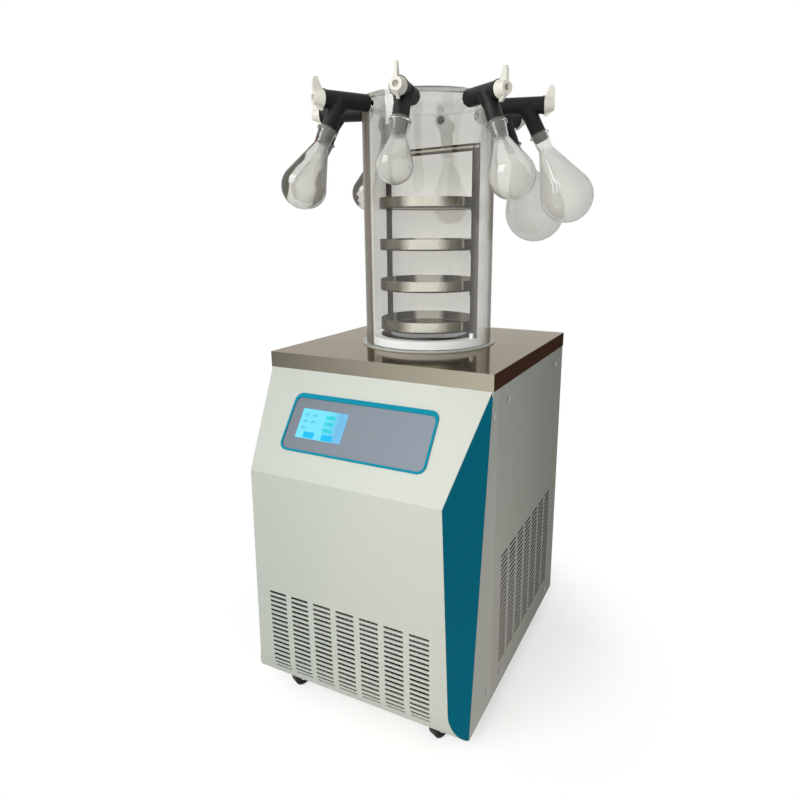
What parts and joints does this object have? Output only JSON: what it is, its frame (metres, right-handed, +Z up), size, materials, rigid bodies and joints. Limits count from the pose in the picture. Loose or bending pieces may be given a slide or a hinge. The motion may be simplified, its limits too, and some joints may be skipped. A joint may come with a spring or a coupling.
{
  "type": "freeze dryer",
  "caption": "Floor-standing laboratory freeze dryer: sheet-metal cabinet with a cold trap, clear chamber with a tray rack, and manifold valves with glass flasks.",
  "frame": {"origin": "floor level under the middle of the bounding box", "axes": "+Z up, +Y towards the rear panel and out of the vacuum port, +X to the right as seen from the front"},
  "size_m": [0.612, 0.6771, 1.193],
  "materials": {
    "panel_paint": "satin powder coat",
    "teal_plastic": "satin moulded",
    "strip_paint": "satin powder coat",
    "side_paint": "satin powder coat",
    "worktop_steel": "brushed",
    "steel": "polished sheet",
    "zinc": "zinc plated",
    "bezel_plastic": "moulded",
    "overlay_film": "fine matte film",
    "screen": "gloss glass, lit",
    "black_plastic": "moulded",
    "black_rubber": "moulded",
    "grey_rubber": "moulded",
    "seal_rubber": "moulded",
    "ivory_plastic": "moulded",
    "red_plastic": "moulded",
    "collar_plastic": "machined",
    "clear_acrylic": "polished acrylic",
    "flask_glass": "clear borosilicate",
    "foam": "foamed",
    "black_enamel": "gloss enamel",
    "fan_plastic": "moulded",
    "copper": "drawn tube",
    "brass": "turned",
    "wheel_rubber": "moulded"
  },
  "bodies": {
    "root": {"base_pan": "panel_paint", "front_panel": "panel_paint", "front_cheeks": "teal_plastic", "corner_strips": "strip_paint", "side_panel_left": "side_paint", "side_panel_right": "side_paint", "rear_panel": "side_paint", "worktop": "worktop_steel", "control_bezel": "bezel_plastic", "control_overlay": "overlay_film", "touch_screen": "screen", "control_box": "zinc", "panel_screws": "zinc", "cold_trap": "steel", "evaporator_coil": "copper", "trap_insulation": "foam", "compressor": "black_enamel", "compressor_mounts": "black_rubber", "condenser": "zinc", "fan_shroud": "black_plastic", "refrigerant_lines": "copper", "vacuum_port": "steel", "drain_valve": "brass", "power_inlet": "black_plastic", "power_switch": "black_plastic", "base_seal": "seal_rubber", "trap_collar": "collar_plastic", "chamber_cylinder": "clear_acrylic", "chamber_lid": "clear_acrylic", "port_stubs": "clear_acrylic", "sample_rack": "steel", "rack_shelves": "steel", "rack_foot": "steel", "valve_bodies": "black_rubber", "flask_adapters": "grey_rubber", "flasks": "flask_glass", "caster_plates": "zinc", "tray_1": "steel", "tray_2": "steel", "tray_3": "steel", "tray_4": "steel"},
    "knob_1": {"valve_knob_1": "ivory_plastic"},
    "knob_2": {"valve_knob_2": "ivory_plastic"},
    "knob_3": {"valve_knob_3": "ivory_plastic"},
    "knob_4": {"valve_knob_4": "ivory_plastic"},
    "knob_5": {"valve_knob_5": "ivory_plastic"},
    "knob_6": {"valve_knob_6": "ivory_plastic"},
    "knob_7": {"valve_knob_7": "ivory_plastic"},
    "knob_8": {"valve_knob_8": "ivory_plastic"},
    "fork_1": {"caster_fork_1": "zinc"},
    "wheel_1": {"caster_wheel_1": "wheel_rubber"},
    "fork_2": {"caster_fork_2": "zinc"},
    "wheel_2": {"caster_wheel_2": "wheel_rubber"},
    "fork_3": {"caster_fork_3": "zinc"},
    "wheel_3": {"caster_wheel_3": "wheel_rubber"},
    "fork_4": {"caster_fork_4": "zinc"},
    "wheel_4": {"caster_wheel_4": "wheel_rubber"},
    "fan": {"fan_rotor": "fan_plastic"},
    "lever": {"drain_lever": "red_plastic"},
    "rocker": {"power_rocker": "red_plastic"}
  },
  "joints": [
    {"name": "valve_turn_1", "type": "hinge", "parent": "root", "child": "knob_1", "pos_m": [0.20788, 0.07274, 1.158], "axis": [0.9744, 0.225, 0], "range_deg": [0, 180]},
    {"name": "valve_turn_2", "type": "hinge", "parent": "root", "child": "knob_2", "pos_m": [0.10846, 0.21213, 1.158], "axis": [0.5299, 0.848, 0], "range_deg": [0, 180]},
    {"name": "valve_turn_3", "type": "hinge", "parent": "root", "child": "knob_3", "pos_m": [-0.06041, 0.24039, 1.158], "axis": [-0.225, 0.9744, 0], "range_deg": [0, 180]},
    {"name": "valve_turn_4", "type": "hinge", "parent": "root", "child": "knob_4", "pos_m": [-0.1998, 0.14096, 1.158], "axis": [-0.848, 0.5299, 0], "range_deg": [0, 180]},
    {"name": "valve_turn_5", "type": "hinge", "parent": "root", "child": "knob_5", "pos_m": [-0.22805, -0.0279, 1.158], "axis": [-0.9744, -0.225, 0], "range_deg": [0, 180]},
    {"name": "valve_turn_6", "type": "hinge", "parent": "root", "child": "knob_6", "pos_m": [-0.12863, -0.16729, 1.158], "axis": [-0.5299, -0.848, 0], "range_deg": [0, 180]},
    {"name": "valve_turn_7", "type": "hinge", "parent": "root", "child": "knob_7", "pos_m": [0.04023, -0.19555, 1.158], "axis": [0.225, -0.9744, 0], "range_deg": [0, 180]},
    {"name": "valve_turn_8", "type": "hinge", "parent": "root", "child": "knob_8", "pos_m": [0.17962, -0.09612, 1.158], "axis": [0.848, -0.5299, 0], "range_deg": [0, 180]},
    {"name": "caster_swivel_1", "type": "hinge", "parent": "root", "child": "fork_1", "pos_m": [-0.16609, -0.24858, 0.04], "axis": [0, 0, 1], "continuous": true},
    {"name": "wheel_spin_1", "type": "hinge", "parent": "fork_1", "child": "wheel_1", "pos_m": [-0.17116, -0.25946, 0.019], "axis": [0.9063, -0.4226, 0], "continuous": true},
    {"name": "caster_swivel_2", "type": "hinge", "parent": "root", "child": "fork_2", "pos_m": [0.15391, -0.24858, 0.04], "axis": [0, 0, 1], "continuous": true},
    {"name": "wheel_spin_2", "type": "hinge", "parent": "fork_2", "child": "wheel_2", "pos_m": [0.14884, -0.25946, 0.019], "axis": [0.9063, -0.4226, 0], "continuous": true},
    {"name": "caster_swivel_3", "type": "hinge", "parent": "root", "child": "fork_3", "pos_m": [-0.16609, 0.19842, 0.04], "axis": [0, 0, 1], "continuous": true},
    {"name": "wheel_spin_3", "type": "hinge", "parent": "fork_3", "child": "wheel_3", "pos_m": [-0.17116, 0.18754, 0.019], "axis": [0.9063, -0.4226, 0], "continuous": true},
    {"name": "caster_swivel_4", "type": "hinge", "parent": "root", "child": "fork_4", "pos_m": [0.15391, 0.19842, 0.04], "axis": [0, 0, 1], "continuous": true},
    {"name": "wheel_spin_4", "type": "hinge", "parent": "fork_4", "child": "wheel_4", "pos_m": [0.14884, 0.18754, 0.019], "axis": [0.9063, -0.4226, 0], "continuous": true},
    {"name": "fan_spin", "type": "hinge", "parent": "root", "child": "fan", "pos_m": [-0.00609, -0.20158, 0.162], "axis": [0, 1, 0], "continuous": true},
    {"name": "drain_turn", "type": "hinge", "parent": "root", "child": "lever", "pos_m": [-0.14609, 0.26642, 0.156], "axis": [0, 0, 1], "range_deg": [0, 90]},
    {"name": "rocker_tip", "type": "hinge", "parent": "root", "child": "rocker", "pos_m": [0.12391, 0.24542, 0.176], "axis": [-1, 0, 0], "range_deg": [0, 20]}
  ]
}
